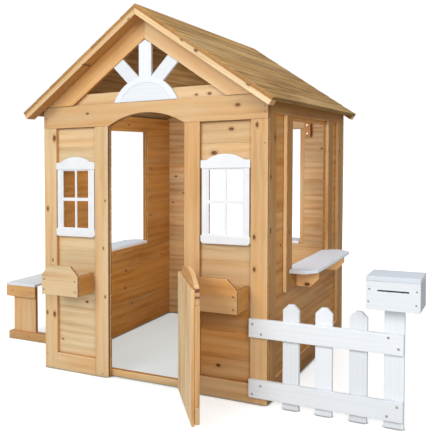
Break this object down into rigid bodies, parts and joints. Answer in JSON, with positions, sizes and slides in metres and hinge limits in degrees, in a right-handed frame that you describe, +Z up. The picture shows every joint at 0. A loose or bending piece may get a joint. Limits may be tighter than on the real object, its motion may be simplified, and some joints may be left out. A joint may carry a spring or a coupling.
{
  "type": "garden playhouse",
  "caption": "Wooden garden playhouse with a gabled board roof, arched half door, white windows, serving counters, picket fence with letter box and a side bench.",
  "frame": {"origin": "on the ground, under the centre of the whole part's outline, with the door standing open as at rest", "axes": "+Z up; +X along the front wall, from the bench side to the fence side; the front wall with the door faces -Y"},
  "size_m": [1.969, 1.3596, 1.4199],
  "materials": {
    "cedar_wood": "oiled, satin",
    "roof_boards": "stained, matt",
    "white_painted_wood": "painted, satin",
    "window_plastic": "satin",
    "hinge_steel": "zinc plated"
  },
  "bodies": {
    "house": {"back_counter": "white_painted_wood", "back_gable_frame": "cedar_wood", "back_wall_cleat": "cedar_wood", "back_wall_frame": "cedar_wood", "back_wall_siding": "cedar_wood", "bench_end_back": "cedar_wood", "bench_end_front": "cedar_wood", "bench_seat": "white_painted_wood", "door_sill": "cedar_wood", "fence_picket_1": "white_painted_wood", "fence_picket_2": "white_painted_wood", "fence_picket_3": "white_painted_wood", "fence_post": "white_painted_wood", "fence_rail_high": "white_painted_wood", "fence_rail_low": "white_painted_wood", "flower_box_left": "cedar_wood", "flower_box_right": "cedar_wood", "front_header": "cedar_wood", "front_left_foot_rail": "cedar_wood", "front_left_siding": "cedar_wood", "front_left_stile_corner": "cedar_wood", "front_left_stile_door": "cedar_wood", "front_right_foot_rail": "cedar_wood", "front_right_siding": "cedar_wood", "front_right_stile_corner": "cedar_wood", "front_right_stile_door": "cedar_wood", "gable_board_left": "cedar_wood", "gable_board_right": "cedar_wood", "gable_sunburst": "white_painted_wood", "gable_tie_board": "cedar_wood", "hinge_high_fixed_leaf": "hinge_steel", "hinge_low_fixed_leaf": "hinge_steel", "left_bracket_back": "cedar_wood", "left_bracket_front": "cedar_wood", "left_counter": "white_painted_wood", "left_wall_frame": "cedar_wood", "left_wall_siding": "cedar_wood", "letter_box": "white_painted_wood", "right_bracket_back": "cedar_wood", "right_bracket_front": "cedar_wood", "right_counter": "white_painted_wood", "right_wall_frame": "cedar_wood", "right_wall_siding": "cedar_wood", "roof_rafter_back_left": "cedar_wood", "roof_rafter_back_right": "cedar_wood", "roof_rafter_front_left": "cedar_wood", "roof_rafter_front_right": "cedar_wood", "roof_slope_left": "roof_boards", "roof_slope_right": "roof_boards", "window_left": "window_plastic", "window_right": "window_plastic"},
    "door": {"door_boards": "cedar_wood", "door_bottom_rail": "cedar_wood", "door_hinge_stile": "cedar_wood", "door_latch_stile": "cedar_wood", "door_top_rail": "cedar_wood", "hinge_high_moving_leaf": "hinge_steel", "hinge_low_moving_leaf": "hinge_steel"},
    "letter_lid": {"letter_box_lid": "white_painted_wood"}
  },
  "joints": [
    {"name": "door_hinge", "type": "hinge", "parent": "house", "child": "door", "pos_m": [0.1585, -0.3947, 0.23], "axis": [0, 0, 1], "range_deg": [-127.9, 0]},
    {"name": "letter_box_lid_hinge", "type": "hinge", "parent": "house", "child": "letter_lid", "pos_m": [0.90275, -0.3302, 0.4708], "axis": [-1, 0, 0], "range_deg": [0, 85]}
  ]
}
